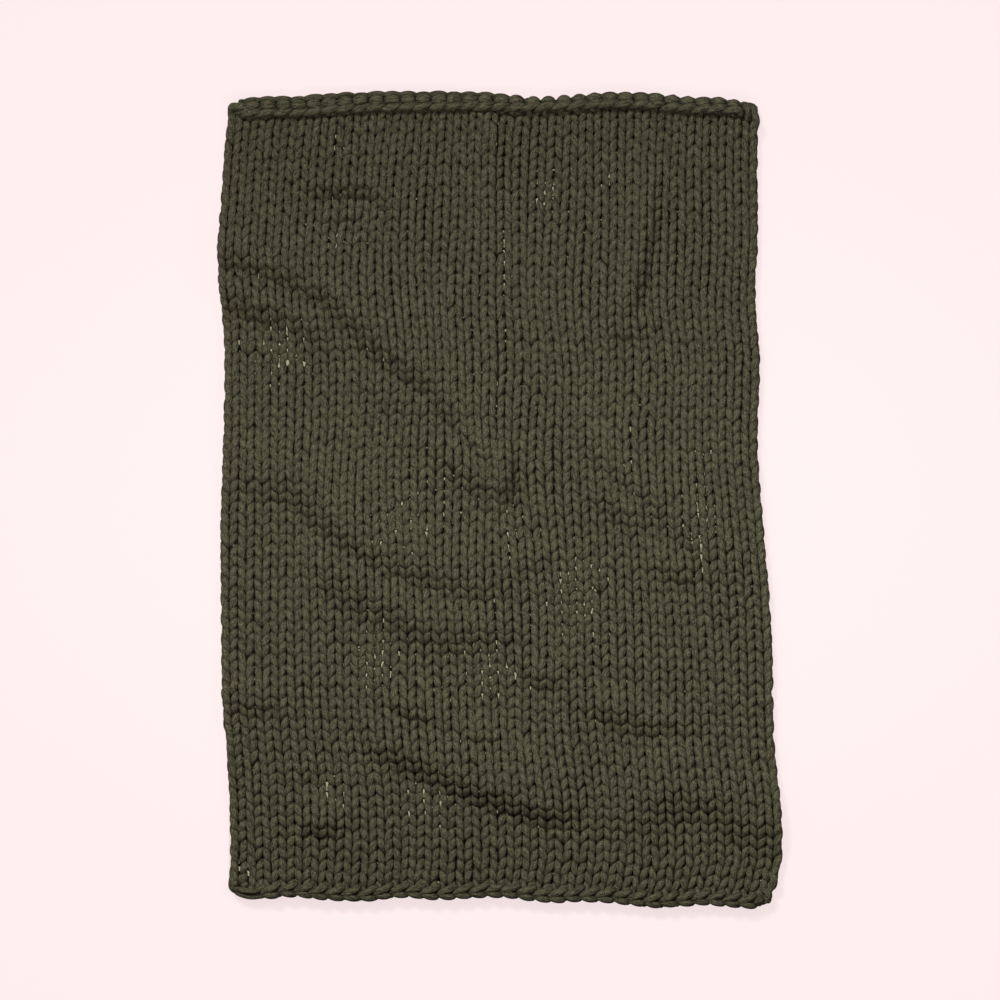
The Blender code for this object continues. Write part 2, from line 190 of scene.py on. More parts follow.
FOLDS = (
    Fold(
        "upper_left_fold",
        0.150,
        0.063,
        0.04,
        (
            Crest(-0.628, 0.571, 0.039),
            Crest(-0.575, 0.566, 0.048),
            Crest(-0.494, 0.535, 0.050),
            Crest(-0.425, 0.508, 0.054),
            Crest(-0.378, 0.484, 0.056),
            Crest(-0.329, 0.440, 0.058),
            Crest(-0.273, 0.382, 0.058),
            Crest(-0.184, 0.306, 0.054),
            Crest(-0.136, 0.274, 0.039),
            Crest(-0.077, 0.200, 0.037),
            Crest(-0.039, 0.150, 0.020),
            Crest(-0.017, 0.124, 0.004),
        ),
    ),
    Fold(
        "upper_left_end",
        0.052,
        0.043,
        0.03,
        (
            Crest(-0.118, 0.239, 0.009),
            Crest(-0.066, 0.167, 0.039),
            Crest(-0.006, 0.091, 0.039),
            Crest(0.020, 0.071, 0.011),
        ),
    ),
    Fold(
        "upper_left_pleat",
        0.062,
        0.060,
        0.04,
        (
            Crest(-0.628, 0.487, 0.036),
            Crest(-0.581, 0.475, 0.048),
            Crest(-0.527, 0.454, 0.048),
            Crest(-0.465, 0.431, 0.041),
            Crest(-0.416, 0.407, 0.032),
            Crest(-0.341, 0.360, 0.009),
        ),
    ),
    Fold(
        "upper_left_tuck",
        0.067,
        0.056,
        0.03,
        (
            Crest(-0.312, 0.293, 0.005),
            Crest(-0.281, 0.268, 0.018),
            Crest(-0.190, 0.223, 0.016),
            Crest(-0.152, 0.190, 0.005),
        ),
    ),
    Fold(
        "centre_pleat",
        0.076,
        0.063,
        0.04,
        (
            Crest(-0.158, 0.142, 0.006),
            Crest(-0.107, 0.105, 0.026),
            Crest(-0.054, 0.073, 0.034),
            Crest(-0.019, 0.060, 0.034),
            Crest(-0.000, 0.066, 0.022),
        ),
    ),
    Fold(
        "centre_hollow",
        0.060,
        0.038,
        0.02,
        (
            Crest(-0.003, 0.010, 0.016),
            Crest(0.001, 0.050, 0.046),
            Crest(0.001, 0.107, 0.044),
            Crest(-0.001, 0.147, 0.011),
            Crest(-0.003, 0.170, 0.003),
        ),
    ),
    Fold(
        "centre_crease",
        0.060,
        0.033,
        0.01,
        (
            Crest(-0.019, 0.171, 0.006),
            Crest(-0.021, 0.237, 0.022),
            Crest(-0.023, 0.351, 0.018),
            Crest(-0.023, 0.476, 0.011),
            Crest(-0.023, 0.612, 0.011),
            Crest(-0.023, 0.725, 0.018),
            Crest(-0.023, 0.816, 0.025),
            Crest(-0.023, 0.857, 0.018),
        ),
    ),
    Fold(
        "middle_left_fold",
        0.160,
        0.063,
        0.03,
        (
            Crest(-0.605, 0.071, 0.010),
            Crest(-0.545, 0.064, 0.029),
            Crest(-0.446, 0.039, 0.036),
            Crest(-0.380, -0.023, 0.041),
            Crest(-0.321, -0.078, 0.041),
            Crest(-0.253, -0.119, 0.034),
            Crest(-0.150, -0.148, 0.029),
            Crest(-0.043, -0.179, 0.022),
            Crest(0.032, -0.202, 0.007),
        ),
    ),
    Fold(
        "middle_left_pleat",
        0.075,
        0.067,
        0.04,
        (
            Crest(-0.414, -0.127, 0.005),
            Crest(-0.378, -0.148, 0.026),
            Crest(-0.333, -0.181, 0.032),
            Crest(-0.279, -0.212, 0.033),
            Crest(-0.191, -0.260, 0.029),
            Crest(-0.124, -0.281, 0.025),
            Crest(-0.051, -0.283, 0.024),
            Crest(0.013, -0.286, 0.018),
            Crest(0.050, -0.302, 0.007),
        ),
    ),
    Fold(
        "centre_pucker",
        0.051,
        0.043,
        0.01,
        (
            Crest(0.037, -0.337, 0.004),
            Crest(0.074, -0.372, 0.022),
            Crest(0.101, -0.389, 0.023),
            Crest(0.124, -0.381, 0.014),
            Crest(0.149, -0.368, 0.004),
        ),
    ),
    Fold(
        "lower_middle_rise",
        0.067,
        0.050,
        0.01,
        (
            Crest(-0.259, -0.437, 0.007),
            Crest(-0.221, -0.457, 0.039),
            Crest(-0.162, -0.486, 0.032),
            Crest(-0.104, -0.515, 0.025),
            Crest(-0.044, -0.530, 0.032),
            Crest(0.013, -0.549, 0.008),
        ),
    ),
    Fold(
        "lower_middle_fold",
        0.170,
        0.060,
        0.06,
        (
            Crest(-0.300, -0.523, 0.005),
            Crest(-0.273, -0.537, 0.026),
            Crest(-0.217, -0.559, 0.033),
            Crest(-0.164, -0.582, 0.035),
            Crest(-0.043, -0.635, 0.039),
            Crest(0.034, -0.659, 0.039),
            Crest(0.101, -0.680, 0.037),
            Crest(0.134, -0.688, 0.030),
            Crest(0.179, -0.691, 0.008),
        ),
    ),
    Fold(
        "lower_right_fold",
        0.150,
        0.079,
        0.02,
        (
            Crest(0.202, -0.693, 0.006),
            Crest(0.248, -0.695, 0.013),
            Crest(0.301, -0.689, 0.015),
            Crest(0.380, -0.661, 0.025),
            Crest(0.471, -0.667, 0.025),
            Crest(0.553, -0.705, 0.025),
            Crest(0.626, -0.731, 0.023),
            Crest(0.656, -0.739, 0.019),
        ),
    ),
    Fold(
        "upper_right_pleat",
        0.110,
        0.041,
        0.04,
        (
            Crest(0.264, 0.385, 0.009),
            Crest(0.277, 0.440, 0.032),
            Crest(0.293, 0.503, 0.037),
            Crest(0.315, 0.611, 0.032),
            Crest(0.331, 0.717, 0.022),
            Crest(0.343, 0.785, 0.003),
        ),
    ),
    Fold(
        "upper_right_tuck",
        0.051,
        0.043,
        0.01,
        (
            Crest(0.224, 0.401, 0.007),
            Crest(0.268, 0.399, 0.030),
            Crest(0.321, 0.402, 0.015),
        ),
    ),
    Fold(
        "middle_right_fold",
        0.120,
        0.055,
        0.02,
        (
            Crest(0.214, 0.180, 0.006),
            Crest(0.229, 0.143, 0.033),
            Crest(0.270, 0.068, 0.037),
            Crest(0.358, 0.009, 0.033),
            Crest(0.423, -0.055, 0.033),
            Crest(0.486, -0.137, 0.025),
            Crest(0.506, -0.234, 0.007),
        ),
    ),
    Fold(
        "middle_right_pleat",
        0.090,
        0.049,
        0.02,
        (
            Crest(0.201, 0.043, 0.006),
            Crest(0.234, 0.024, 0.026),
            Crest(0.295, -0.022, 0.026),
            Crest(0.336, -0.057, 0.005),
        ),
    ),
    Fold(
        "middle_right_tuck",
        0.059,
        0.049,
        0.02,
        (
            Crest(0.347, -0.104, 0.005),
            Crest(0.372, -0.129, 0.024),
            Crest(0.414, -0.156, 0.024),
            Crest(0.445, -0.169, 0.004),
        ),
    ),
    Fold(
        "top_left_pucker",
        0.054,
        0.040,
        0.01,
        (
            Crest(-0.453, 0.725, 0.008),
            Crest(-0.408, 0.723, 0.030),
            Crest(-0.351, 0.721, 0.034),
            Crest(-0.285, 0.716, 0.026),
            Crest(-0.216, 0.653, 0.020),
            Crest(-0.184, 0.588, 0.013),
            Crest(-0.152, 0.522, 0.005),
        ),
    ),
    Fold(
        "top_left_tuck",
        0.045,
        0.037,
        0.01,
        (
            Crest(-0.425, 0.649, 0.006),
            Crest(-0.397, 0.647, 0.018),
            Crest(-0.354, 0.649, 0.018),
            Crest(-0.323, 0.653, 0.005),
        ),
    ),
    Fold(
        "lower_right_pucker",
        0.060,
        0.048,
        0.01,
        (
            Crest(0.204, -0.444, 0.005),
            Crest(0.242, -0.460, 0.024),
            Crest(0.330, -0.489, 0.022),
            Crest(0.389, -0.495, 0.012),
            Crest(0.443, -0.502, 0.003),
        ),
    ),
    Fold(
        "lower_left_pucker",
        0.071,
        0.052,
        0.03,
        (
            Crest(-0.458, -0.714, 0.004),
            Crest(-0.420, -0.720, 0.026),
            Crest(-0.387, -0.720, 0.026),
            Crest(-0.349, -0.712, 0.004),
        ),
    ),
    Fold(
        "left_pucker",
        0.060,
        0.045,
        0.01,
        (
            Crest(-0.612, -0.442, 0.012),
            Crest(-0.566, -0.444, 0.022),
            Crest(-0.520, -0.446, 0.014),
            Crest(-0.477, -0.451, 0.003),
        ),
    ),
    Fold(
        "centre_tuck",
        0.051,
        0.043,
        0.01,
        (
            Crest(-0.006, -0.146, 0.003),
            Crest(0.029, -0.144, 0.017),
            Crest(0.088, -0.123, 0.015),
            Crest(0.127, -0.097, 0.003),
        ),
    ),
)

OPENINGS = (
    Opening(0.005, 0.566, 0.032, 0.150, 0.0007, 0.55),
    Opening(-0.002, 0.816, 0.009, 0.102, 0.0013, 0.2),
    Opening(0.000, 0.271, 0.009, 0.170, 0.0011, 0.4),
    Opening(-0.197, -0.055, 0.059, 0.080, 0.0008, 1.0),
    Opening(-0.023, -0.390, 0.068, 0.060, 0.0011, 1.0),
    Opening(0.175, -0.228, 0.060, 0.100, 0.0008, 1.0),
    Opening(0.291, 0.112, 0.027, 0.060, 0.0008, 1.0),
    Opening(0.456, -0.058, 0.036, 0.090, 0.0009, 1.0),
    Opening(-0.368, -0.659, 0.040, 0.034, 0.0008, 1.0),
    Opening(-0.368, 0.582, 0.022, 0.024, 0.0011, 1.0),
    Opening(-0.364, 0.810, 0.018, 0.027, 0.0009, 1.0),
    Opening(-0.586, -0.848, 0.032, 0.026, 0.0085, 1.0),
    Opening(-0.152, -0.857, 0.032, 0.012, 0.0060, 1.0),
    Opening(-0.511, 0.339, 0.070, 0.060, 0.0007, 1.0),
    Opening(-0.291, -0.360, 0.055, 0.070, 0.0008, 1.0),
    Opening(-0.273, -0.065, 0.030, 0.040, 0.0008, 1.0),
    Opening(0.109, 0.691, 0.030, 0.050, 0.0008, 1.0),
    Opening(0.252, 0.716, 0.018, 0.024, 0.0009, 1.0),
    Opening(0.207, -0.167, 0.020, 0.024, 0.0009, 1.0),
    Opening(0.463, 0.119, 0.018, 0.024, 0.0008, 1.0),
    Opening(0.023, -0.069, 0.020, 0.060, 0.0009, 1.0),
    Opening(-0.159, -0.682, 0.070, 0.050, 0.0007, 1.0),
)

CORNER_STRANDS = (
    CornerStrand(
        "upper_left_wrap",
        (
            StrandPoint(-0.556, 0.896, 0.030, 0.0065),
            StrandPoint(-0.572, 0.891, 0.040, 0.0086),
            StrandPoint(-0.590, 0.890, 0.044, 0.0094),
            StrandPoint(-0.605, 0.890, 0.039, 0.0090),
            StrandPoint(-0.609, 0.880, 0.030, 0.0075),
            StrandPoint(-0.607, 0.868, 0.020, 0.0085),
            StrandPoint(-0.595, 0.864, 0.012, 0.0085),
        ),
    ),
    CornerStrand(
        "upper_left_fill",
        (
            StrandPoint(-0.604, 0.876, 0.022, 0.0070),
            StrandPoint(-0.592, 0.880, 0.033, 0.0086),
            StrandPoint(-0.574, 0.879, 0.041, 0.0094),
            StrandPoint(-0.556, 0.875, 0.040, 0.0088),
            StrandPoint(-0.540, 0.872, 0.034, 0.0062),
        ),
    ),
    CornerStrand(
        "upper_right_wrap",
        (
            StrandPoint(0.545, 0.896, 0.030, 0.0060),
            StrandPoint(0.557, 0.893, 0.041, 0.0070),
            StrandPoint(0.562, 0.882, 0.046, 0.0074),
            StrandPoint(0.561, 0.868, 0.039, 0.0068),
            StrandPoint(0.556, 0.857, 0.028, 0.0056),
        ),
    ),
    CornerStrand(
        "upper_right_edge",
        (
            StrandPoint(0.547, 0.898, 0.024, 0.0070),
            StrandPoint(0.564, 0.891, 0.034, 0.0080),
            StrandPoint(0.575, 0.877, 0.037, 0.0082),
            StrandPoint(0.581, 0.859, 0.035, 0.0082),
            StrandPoint(0.579, 0.843, 0.024, 0.0070),
            StrandPoint(0.575, 0.832, 0.014, 0.0070),
        ),
    ),
    CornerStrand(
        "lower_left_loop",
        (
            StrandPoint(-0.529, -0.873, 0.032, 0.0056),
            StrandPoint(-0.554, -0.884, 0.041, 0.0072),
            StrandPoint(-0.577, -0.884, 0.040, 0.0070),
            StrandPoint(-0.594, -0.881, 0.032, 0.0058),
            StrandPoint(-0.599, -0.886, 0.026, 0.0052),
            StrandPoint(-0.588, -0.893, 0.028, 0.0062),
            StrandPoint(-0.563, -0.898, 0.031, 0.0070),
            StrandPoint(-0.531, -0.896, 0.028, 0.0062),
        ),
    ),
    CornerStrand(
        "lower_left_edge",
        (
            StrandPoint(-0.602, -0.846, 0.018, 0.0075),
            StrandPoint(-0.606, -0.861, 0.028, 0.0082),
            StrandPoint(-0.606, -0.877, 0.028, 0.0080),
            StrandPoint(-0.596, -0.889, 0.020, 0.0066),
        ),
    ),
    CornerStrand(
        "lower_left_fill",
        (
            StrandPoint(-0.578, -0.850, 0.018, 0.0070),
            StrandPoint(-0.593, -0.862, 0.021, 0.0088),
            StrandPoint(-0.598, -0.872, 0.019, 0.0088),
            StrandPoint(-0.588, -0.880, 0.014, 0.0075),
        ),
    ),
    CornerStrand(
        "lower_right_bead",
        (
            StrandPoint(0.607, -0.842, 0.018, 0.0060),
            StrandPoint(0.6185, -0.853, 0.030, 0.0086),
            StrandPoint(0.6205, -0.865, 0.032, 0.0092),
            StrandPoint(0.6165, -0.877, 0.027, 0.0082),
            StrandPoint(0.604, -0.884, 0.016, 0.0060),
        ),
    ),
    CornerStrand(
        "lower_right_edge",
        (
            StrandPoint(0.585, -0.880, 0.020, 0.0066),
            StrandPoint(0.600, -0.884, 0.030, 0.0080),
            StrandPoint(0.6075, -0.893, 0.034, 0.0084),
            StrandPoint(0.6055, -0.903, 0.031, 0.0078),
            StrandPoint(0.594, -0.911, 0.026, 0.0074),
            StrandPoint(0.570, -0.914, 0.022, 0.0066),
        ),
    ),
)


@dataclass(frozen=True)
class Knot:
    """A point that the yarn passes in a stitch of the body.

    Across is in stitch widths from the stitch's middle, along in course heights from the course's
    own line, depth in metres in front of the middle of the sheet.
    """

    across: float
    along: float
    depth: float
    radius: float


@dataclass(frozen=True)
class EdgeKnot:
    """A point that the yarn passes in a stitch of an end edge.

    Across is in stitch widths from the stitch's middle, inset and height are in metres from the
    outline and from the surface below.
    """

    across: float
    inset: float
    height: float
    radius: float


# The left half of a stitch, from the low loop behind, up the plump leg in front, to the head behind
HALF_STITCH = (
    Knot(-0.50, -1.12, -0.0105, 0.0128),
    Knot(-0.26, -1.06, -0.0090, 0.0088),
    Knot(-0.105, -0.90, -0.0014, 0.0043),
    Knot(-0.136, -0.62, 0.0090, 0.0060),
    Knot(-0.198, -0.30, 0.0114, 0.0083),
    Knot(-0.264, 0.05, 0.0118, 0.0090),
    Knot(-0.332, 0.38, 0.0088, 0.0070),
    Knot(-0.388, 0.70, 0.0012, 0.0044),
    Knot(-0.28, 0.98, -0.0092, 0.0088),
    Knot(0.00, 1.04, -0.0105, 0.0128),
)

# The knots of a whole stitch that make up its two legs in front
LEGS = (slice(2, 8), slice(11, 17))

# Where the yarn is drawn along a half stitch, counted in knots: finer along the leg in front
HALF_SAMPLES = (0.0, 1.0, 2.0, 2.7, 3.4, 4.1, 4.8, 5.5, 6.2, 7.0, 8.0)

CAST_ON_BEADS = (
    EdgeKnot(-0.50, 0.0225, 0.0200, 0.0036),
    EdgeKnot(-0.36, 0.0212, 0.0355, 0.0084),
    EdgeKnot(-0.07, 0.0205, 0.0435, 0.0122),
    EdgeKnot(0.22, 0.0208, 0.0420, 0.0100),
    EdgeKnot(0.38, 0.0225, 0.0300, 0.0046),
)

CAST_ON_BUMPS = (
    EdgeKnot(-0.50, 0.0262, 0.0300, 0.0050),
    EdgeKnot(-0.20, 0.0265, 0.0370, 0.0070),
    EdgeKnot(0.12, 0.0255, 0.0380, 0.0074),
    EdgeKnot(0.36, 0.0250, 0.0320, 0.0054),
)

CAST_ON_STRANDS = (
    EdgeKnot(-0.84, 0.0395, 0.0295, 0.0046),
    EdgeKnot(-0.58, 0.0402, 0.0385, 0.0072),
    EdgeKnot(-0.20, 0.0380, 0.0435, 0.0093),
    EdgeKnot(0.18, 0.0340, 0.0435, 0.0094),
    EdgeKnot(0.50, 0.0300, 0.0365, 0.0076),
    EdgeKnot(0.72, 0.0280, 0.0255, 0.0052),
    EdgeKnot(0.46, 0.0310, 0.0195, 0.0046),
)

CAST_ON_RIM = (
    EdgeKnot(-0.50, 0.0095, 0.0250, 0.0080),
    EdgeKnot(-0.20, 0.0080, 0.0280, 0.0088),
    EdgeKnot(0.10, 0.0080, 0.0290, 0.0090),
    EdgeKnot(0.35, 0.0090, 0.0270, 0.0082),
)

BIND_OFF_LINKS = (
    EdgeKnot(-0.70, 0.0150, 0.026, 0.0050),
    EdgeKnot(-0.34, 0.0190, 0.0370, 0.0078),
    EdgeKnot(0.04, 0.0245, 0.0405, 0.0088),
    EdgeKnot(0.40, 0.0300, 0.0380, 0.0078),
    EdgeKnot(0.68, 0.0335, 0.026, 0.0052),
    EdgeKnot(0.66, 0.0190, 0.019, 0.0056),
    EdgeKnot(0.48, 0.0095, 0.029, 0.0074),
    EdgeKnot(0.14, 0.0098, 0.0355, 0.0090),
    EdgeKnot(-0.22, 0.0125, 0.0355, 0.0084),
    EdgeKnot(-0.52, 0.0165, 0.026, 0.0056),
    EdgeKnot(-0.10, 0.0200, 0.013, 0.0056),
    EdgeKnot(0.16, 0.0180, 0.013, 0.0056),
)

CAST_ON_BASE = (
    EdgeKnot(-0.50, 0.0290, 0.0150, 0.0118),
    EdgeKnot(0.00, 0.0290, 0.0150, 0.0118),
)

CAST_ON_UNDER = (
    EdgeKnot(-0.50, 0.0460, 0.0120, 0.0096),
    EdgeKnot(0.00, 0.0460, 0.0120, 0.0096),
)

BIND_OFF_BASE = (
    EdgeKnot(-0.50, 0.0250, 0.0130, 0.0112),
    EdgeKnot(0.00, 0.0250, 0.0130, 0.0112),
)

# How far the cast-on edge is rolled back from its fullest curl: place across, degrees
CAST_ON_ROLL = (
    (-0.62, 0.0),
    (-0.25, 0.0),
    (-0.12, 6.0),
    (0.00, 18.0),
    (0.11, 42.0),
    (0.27, 28.0),
    (0.45, 30.0),
    (0.60, 30.0),
)


@dataclass(frozen=True)
class Gauge:
    """The knitting's counts, and how finely its yarn is drawn."""

    wales: int = 34
    courses: int = 72
    sides: int = 8


def smooth(knots: np.ndarray, at: np.ndarray) -> np.ndarray:
    """Read a Catmull-Rom curve through knots.

    Args:
        knots: The knots, one a row.
        at: Where to read, counted in knots.

    Returns:
        One row for each place in at.
    """
    padded = np.vstack((2 * knots[0] - knots[1], knots, 2 * knots[-1] - knots[-2]))
    cell = np.clip(np.floor(at).astype(int), 0, len(knots) - 2)
    t = (at - cell)[:, None]
    a, b, c, d = (padded[cell + step] for step in range(4))
    bend = (2 * a - 5 * b + 4 * c - d) * t**2
    return 0.5 * (2 * b + (c - a) * t + bend + (3 * b - a - 3 * c + d) * t**3)


def through(table: tuple, at: np.ndarray) -> np.ndarray:
    """Read a smooth curve through a table of two columns.

    Args:
        table: Rows of a place and its value.
        at: The places to read.

    Returns:
        The value at each place.
    """
    places, values = np.array(table).T
    order = np.argsort(places)
    places, values = places[order], values[order]
    slopes = np.gradient(values, places)
    at = np.clip(at, places[0], places[-1])
    cell = np.clip(np.searchsorted(places, at) - 1, 0, len(places) - 2)
    span = places[cell + 1] - places[cell]
    t = (at - places[cell]) / span
    return (
        (1 + 2 * t) * (1 - t) ** 2 * values[cell]
        + t * (1 - t) ** 2 * span * slopes[cell]
        + t**2 * (3 - 2 * t) * values[cell + 1]
        - t**2 * (1 - t) * span * slopes[cell + 1]
    )


class FoldField:
    """How one fold lifts, leans and gathers the sheet around its crest line."""

    GATHER = 0.10
    REACH = 2.0
    STEEPNESS = 1.25
    SHOULDER = 0.1

    def __init__(self, fold: Fold, steps: int = 8) -> None:
        """Work out the crest line as a Catmull-Rom curve.

        Args:
            fold: The fold's own sizes.
            steps: Straight pieces between two crest points.
        """
        self.fold = fold
        points = np.array([(p.x, p.y, p.rise) for p in fold.crest])
        count = (len(points) - 1) * steps + 1
        self.line = smooth(points, np.linspace(0, len(points) - 1, count))

    def sense(self, x: np.ndarray, y: np.ndarray) -> tuple[np.ndarray, np.ndarray, np.ndarray, np.ndarray]:
        """Find where points lie against the crest line.

        Args:
            x: Places across the blanket.
            y: Places along the blanket.

        Returns:
            The distance from the crest, which side (+1 steep, -1 gentle), the crest's rise at the
            nearest place, and the unit direction towards the steep side.
        """
        start, step = self.line[:-1, :2], np.diff(self.line[:, :2], axis=0)
        reach = np.stack((x, y), axis=-1)[:, None, :] - start
        t = np.clip((reach * step).sum(-1) / (step**2).sum(-1), 0.0, 1.0)
        gap = reach - t[..., None] * step
        distance = np.hypot(gap[..., 0], gap[..., 1])
        nearest = distance.argmin(-1)
        rows = np.arange(len(x))
        run = step[nearest]
        steep_way = np.stack((run[:, 1], -run[:, 0]), axis=-1)
        steep_way /= np.linalg.norm(steep_way, axis=-1, keepdims=True)
        side = np.where((gap[rows, nearest] * steep_way).sum(-1) > 0, 1.0, -1.0)
        share = t[rows, nearest]
        rise = self.line[nearest, 2] * (1 - share) + self.line[nearest + 1, 2] * share
        return distance[rows, nearest], side, np.maximum(rise, 0.0), steep_way

    def near(self, x: np.ndarray, y: np.ndarray, reach: float) -> np.ndarray:
        """Return which points lie within reach of the box around the crest line."""
        low, high = self.line.min(axis=0) - reach, self.line.max(axis=0) + reach
        return (x > low[0]) & (x < high[0]) & (y > low[1]) & (y < high[1])

    def lift(self, x: np.ndarray, y: np.ndarray) -> tuple[np.ndarray, np.ndarray]:
        """Raise points onto the fold.

        Args:
            x: Places across the blanket.
            y: Places along the blanket.

        Returns:
            How far the fold raises the points, and how far it leans them sideways.
        """
        height, lean = np.zeros_like(x), np.zeros(x.shape + (2,))
        near = self.near(x, y, max(self.fold.gentle, self.fold.steep))
        if near.any():
            distance, side, rise, steep_way = self.sense(x[near], y[near])
            gentle = 0.5 + 0.5 * np.cos(math.pi * np.clip(distance / self.fold.gentle, 0, 1))
            share = np.clip(distance / self.fold.steep, 0, 1)
            steep = 1 - self.STEEPNESS * (share - self.SHOULDER * ((2 * share - 1) ** 5 + 1))
            height[near] = rise * np.where(side > 0, steep, gentle)
            lean[near] = self.fold.lean * height[near, None] * steep_way
        return height, lean

    def gather(self, x: np.ndarray, y: np.ndarray) -> np.ndarray:
        """Draw the stitches around the fold towards its crest.

        Args:
            x: Places across the blanket.
            y: Places along the blanket.

        Returns:
            How far each point moves across and along.
        """
        shift = np.zeros(x.shape + (2,))
        near = self.near(x, y, 2 * self.REACH * max(self.fold.gentle, self.fold.steep))
        if near.any():
            distance, side, rise, steep_way = self.sense(x[near], y[near])
            width = np.where(side > 0, self.fold.steep, self.fold.gentle)
            pull = np.tanh(distance / width) * np.exp(-((distance / (self.REACH * width)) ** 2))
            shift[near] = (-self.GATHER * rise * side * pull)[:, None] * steep_way
        return shift


@dataclass
class Drape:
    """The sheet as it lies: turns places in the knitting into places in the world."""

    gauge: Gauge
    middle_height: float = 0.0165
    top_margin: float = 0.031
    top_rise: float = 0.010
    rise_start: float = 0.19
    rise_length: float = 0.62
    bottom_margin: float = 0.030
    side_margin: float = 0.002
    upright: float = 0.1
    set_back: float = 0.0108
    front_depth: float = 0.0115
    wandering: float = 0.10
    waves: int = 10
    slowest: tuple[float, float] = (0.12, 0.05)
    quickest: tuple[float, float] = (1.1, 0.35)
    loosening: float = 1.6
    nudge: float = 0.25
    folds: list[FoldField] = field(default_factory=lambda: [FoldField(fold) for fold in FOLDS])

    def __post_init__(self) -> None:
        """Find how far the solid's box lies from the outline that the tables give."""
        low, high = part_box(NODE)
        across = [x for _, x in LEFT_EDGE + RIGHT_EDGE]
        along = [y for _, y in TOP_EDGE + BOTTOM_EDGE]
        self.shift = Vector(
            (
                0.5 * (low[0] + high[0]) - 0.5 * (min(across) + max(across)),
                0.5 * (low[1] + high[1]) - 0.5 * (min(along) + max(along)),
                0.0,
            )
        )

    def wander(self, wale: np.ndarray, course: np.ndarray, seed: int) -> np.ndarray:
        """Work out a slow unevenness over the sheet, as hand knitting has.

        Args:
            wale: Stitches counted from the left edge.
            course: Courses counted from the bottom edge.
            seed: Which unevenness.

        Returns:
            Its value at each place, about one at most, up or down.
        """
        random = np.random.RandomState(seed)
        total = np.zeros_like(wale)
        for _ in range(self.waves):
            pitch = random.uniform(self.slowest, self.quickest)
            phase = random.uniform(0, 2 * math.pi)
            way = random.choice((-1.0, 1.0))
            total += np.sin(pitch[0] * wale + way * pitch[1] * course + phase)
        return total / math.sqrt(self.waves)

    def near(self, gap: Opening, x: np.ndarray, y: np.ndarray) -> np.ndarray:
        """Return how near places are to an opening, one at its middle and none far away."""
        return np.exp(-(((x - gap.x) / gap.across) ** 2) - ((y - gap.y) / gap.along) ** 2)

    def looseness(self, points: np.ndarray) -> np.ndarray:
        """Work out how loose the knitting is.

        Args:
            points: Points in the world, one a row.

        Returns:
            The looseness at each point, from none to one.
        """
        x, y = points[:, 0] - self.shift.x, points[:, 1] - self.shift.y
        loose = sum(gap.loose * self.near(gap, x, y) for gap in OPENINGS)
        return np.clip(self.loosening * loose, 0.0, 1.0)

    def across(self, y: np.ndarray, u: np.ndarray) -> np.ndarray:
        """Place shares of the blanket's width.

        Args:
            y: Places along the blanket.
            u: Shares of its width from the left edge.

        Returns:
            The places across the blanket.
        """
        left = through(LEFT_EDGE, y) + self.side_margin
        right = through(RIGHT_EDGE, y) - self.side_margin
        return left * (1 - u) + right * u

    def plan(self, wale: np.ndarray, course: np.ndarray) -> tuple[np.ndarray, np.ndarray]:
        """Return where a stitch lies seen from above, before the folds lift it.

        Args:
            wale: Stitches counted from the left edge.
            course: Courses counted from the bottom edge.

        Returns:
            The places across and along the blanket.
        """
        gauge = self.gauge
        inside = np.sin(math.pi * np.clip(wale / gauge.wales, 0, 1)) ** 0.5
        u = (wale + self.wandering * inside * self.wander(wale, course, seed=3)) / gauge.wales
        v = (course + self.wandering * self.wander(wale, course, seed=5)) / gauge.courses
        guess = BODY_SIDES[0] * (1 - u) + BODY_SIDES[1] * u
        low = through(BOTTOM_EDGE, guess) + self.bottom_margin
        rising = np.clip((u - self.rise_start) / self.rise_length, 0.0, 1.0)
        high = through(TOP_EDGE, guess) - self.top_margin + self.top_rise * rising
        y = low + (high - low) * v
        x = self.across(y, u)
        x = x + sum(gap.spread * self.near(gap, x, y) * (x - gap.x) / gap.across for gap in OPENINGS)
        shift = np.zeros(x.shape + (2,))
        for fold in self.folds:
            shift += fold.gather(x, y)
        return x + shift[:, 0], y + shift[:, 1]

    def lay(self, x: np.ndarray, y: np.ndarray, height: np.ndarray) -> np.ndarray:
        """Lift places seen from above onto the folds.

        Args:
            x: Places across the blanket.
            y: Places along it.
            height: Heights over the surface before the folds.

        Returns:
            The points in the world, one a row.
        """
        rise = np.zeros_like(x)
        lean = np.zeros(x.shape + (2,))
        for fold in self.folds:
            height_here, lean_here = fold.lift(x, y)
            higher = height_here > rise
            rise = np.where(higher, height_here, rise)
            lean = np.where(higher[:, None], lean_here, lean)
        points = np.stack((x + lean[:, 0], y + lean[:, 1], height + rise), axis=-1)
        return points + np.array(self.shift)

    def place(self, wale: np.ndarray, course: np.ndarray, depth: np.ndarray) -> np.ndarray:
        """Return the world points of places in the body of the knitting.

        Args:
            wale: Stitches counted from the left edge.
            course: Courses counted from the bottom edge.
            depth: Distance in front of the middle of the sheet.

        Returns:
            The points, one a row.
        """
        nudge = self.nudge

        def middle(s: np.ndarray, c: np.ndarray) -> np.ndarray:
            """Return the points of places on the sheet's middle."""
            x, y = self.plan(s, c)
            return self.lay(x, y, np.full_like(x, self.middle_height))

        across = middle(wale + nudge, course) - middle(wale - nudge, course)
        along = middle(wale, course + nudge) - middle(wale, course - nudge)
        normal = np.cross(across, along)
        normal /= np.linalg.norm(normal, axis=-1, keepdims=True)
        x, y = self.plan(wale, course)
        back = self.set_back * np.clip((depth + self.front_depth) / (2 * self.front_depth), 0, 1)
        x, y = x - back * normal[:, 0], y - back * normal[:, 1]
        here = self.lay(x, y, np.full_like(x, self.middle_height))
        normal[:, 2] += self.upright
        normal /= np.linalg.norm(normal, axis=-1, keepdims=True)
        return here + depth[:, None] * normal

